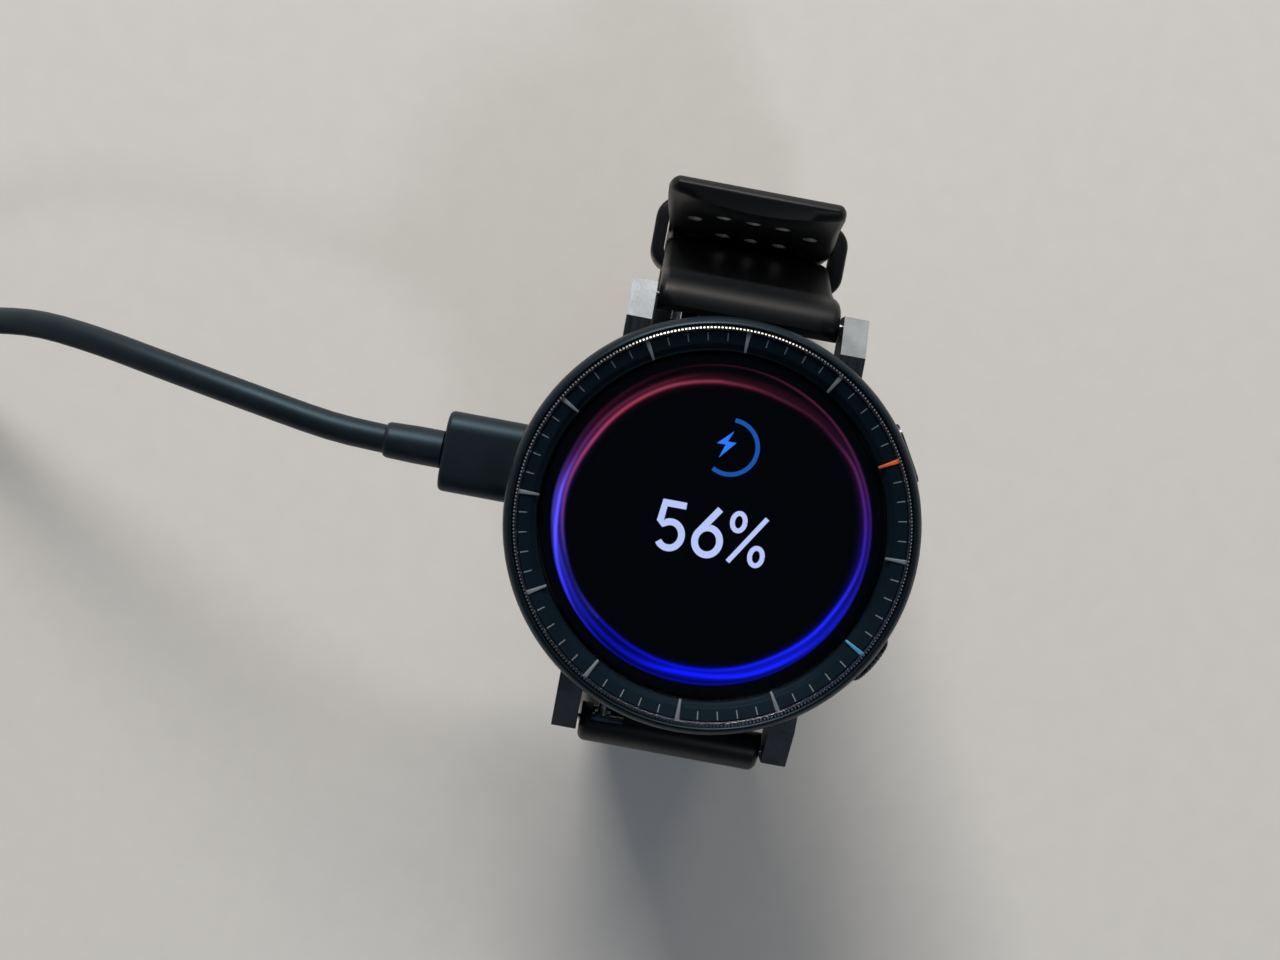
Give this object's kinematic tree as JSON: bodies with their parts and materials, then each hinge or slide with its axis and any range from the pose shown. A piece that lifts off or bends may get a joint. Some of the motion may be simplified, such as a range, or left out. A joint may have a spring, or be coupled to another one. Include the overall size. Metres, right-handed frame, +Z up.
{
  "type": "gps running watch",
  "caption": "Round sports watch on a buckled silicone strap, lit dial with minute track, side button and crown, magnetic charging puck and lead",
  "frame": {"origin": "on the table, under the middle of the watch's own box, the charging lead left out", "axes": "+X from 9 to 3 o'clock, +Y from 6 to 12 o'clock, +Z up, the way the dial faces"},
  "size_m": [0.1752, 0.0883, 0.056],
  "materials": {
    "gunmetal_case": "fine brushed gunmetal coating",
    "bezel_coat": "satin dark navy moulded bezel",
    "dark_steel": "dark plated steel, satin",
    "steel": "plain turned and pressed steel",
    "brass_contact": "gold-plated contacts and antenna",
    "cover_crystal": "clear crystal over a black print",
    "display": "black round display",
    "black_plastic": "matt black moulding with fine spark texture",
    "lead_plastic": "soft matt black lead and overmoulds",
    "silicone": "soft satin black silicone",
    "circuit_board": "green soldermask",
    "battery_foil": "matt foil pouch",
    "seal_rubber": "dull seal rubber",
    "tick_paint": "printed light grey marks",
    "tick_orange": "printed orange mark",
    "tick_blue": "printed blue mark",
    "screen_graphic": "lit display graphics"
  },
  "bodies": {
    "watch": {"case_with_lugs": "gunmetal_case", "bezel": "bezel_coat", "bezel_knurled_ring": "dark_steel", "minute_track_ring": "bezel_coat", "cover_glass": "cover_crystal", "display_gasket": "seal_rubber", "display_panel": "display", "inner_frame": "black_plastic", "antenna_ring": "brass_contact", "battery": "battery_foil", "main_board": "circuit_board", "vibration_motor": "steel", "speaker": "black_plastic", "sensor_board": "circuit_board", "back_cover": "black_plastic", "back_seal": "seal_rubber", "optical_sensor_window": "cover_crystal", "back_screw_1": "steel", "back_screw_2": "steel", "back_screw_3": "steel", "back_screw_4": "steel", "charge_contact_1": "brass_contact", "charge_contact_2": "brass_contact", "crown_seal": "seal_rubber", "crown_encoder": "black_plastic", "button_seal": "seal_rubber", "button_switch": "black_plastic", "spring_bar_12": "steel", "spring_bar_6": "steel", "puck_top_shell": "black_plastic", "puck_bottom_shell": "black_plastic", "puck_usb_socket": "steel", "puck_board": "circuit_board", "puck_magnet": "steel", "puck_contact_pin_1": "brass_contact", "puck_contact_pin_2": "brass_contact", "strap_short_half": "silicone", "strap_long_half": "silicone", "buckle_frame": "dark_steel", "buckle_tang": "steel", "buckle_pin": "steel", "strap_keeper_fixed": "silicone"},
    "crown_shaft": {"crown_stem": "steel"},
    "crown_knob": {"crown": "dark_steel"},
    "side_button": {"button": "dark_steel", "button_stem": "steel"},
    "release_lever_top": {"release_lever_12": "steel", "spring_bar_tip_12": "steel"},
    "release_lever_bottom": {"release_lever_6": "steel", "spring_bar_tip_6": "steel"},
    "sliding_keeper": {"strap_keeper_sliding": "silicone"},
    "lead": {"near_plug_overmould": "lead_plastic", "near_plug_shell": "steel", "near_plug_strain_relief": "lead_plastic", "charging_lead": "lead_plastic", "charging_lead_coil": "lead_plastic", "charging_lead_end": "lead_plastic", "far_plug_overmould": "lead_plastic", "far_plug_shell": "steel", "far_plug_strain_relief": "lead_plastic"}
  },
  "joints": [
    {"name": "crown_press", "type": "slide", "parent": "watch", "child": "crown_shaft", "axis": [-0.866, 0.5, 0], "range_m": [0, 0.0004], "stiffness_N_per_m": 1500},
    {"name": "crown_turn", "type": "hinge", "parent": "crown_shaft", "child": "crown_knob", "pos_m": [0, -0.0052, 0.0484], "axis": [0.866, -0.5, 0], "continuous": true},
    {"name": "button_press", "type": "slide", "parent": "watch", "child": "side_button", "axis": [-0.866, -0.5, 0], "range_m": [0, 0.0005], "stiffness_N_per_m": 1500},
    {"name": "top_lever_slide", "type": "slide", "parent": "watch", "child": "release_lever_top", "axis": [1, 0, 0], "range_m": [0, 0.0013], "stiffness_N_per_m": 800},
    {"name": "bottom_lever_slide", "type": "slide", "parent": "watch", "child": "release_lever_bottom", "axis": [1, 0, 0], "range_m": [0, 0.0013], "stiffness_N_per_m": 800},
    {"name": "keeper_slide", "type": "slide", "parent": "watch", "child": "sliding_keeper", "axis": [0, 0, -1], "range_m": [0, 0.0036]},
    {"name": "plug_pull", "type": "slide", "parent": "watch", "child": "lead", "axis": [-1, 0, 0], "range_m": [0, 0.0064]}
  ]
}
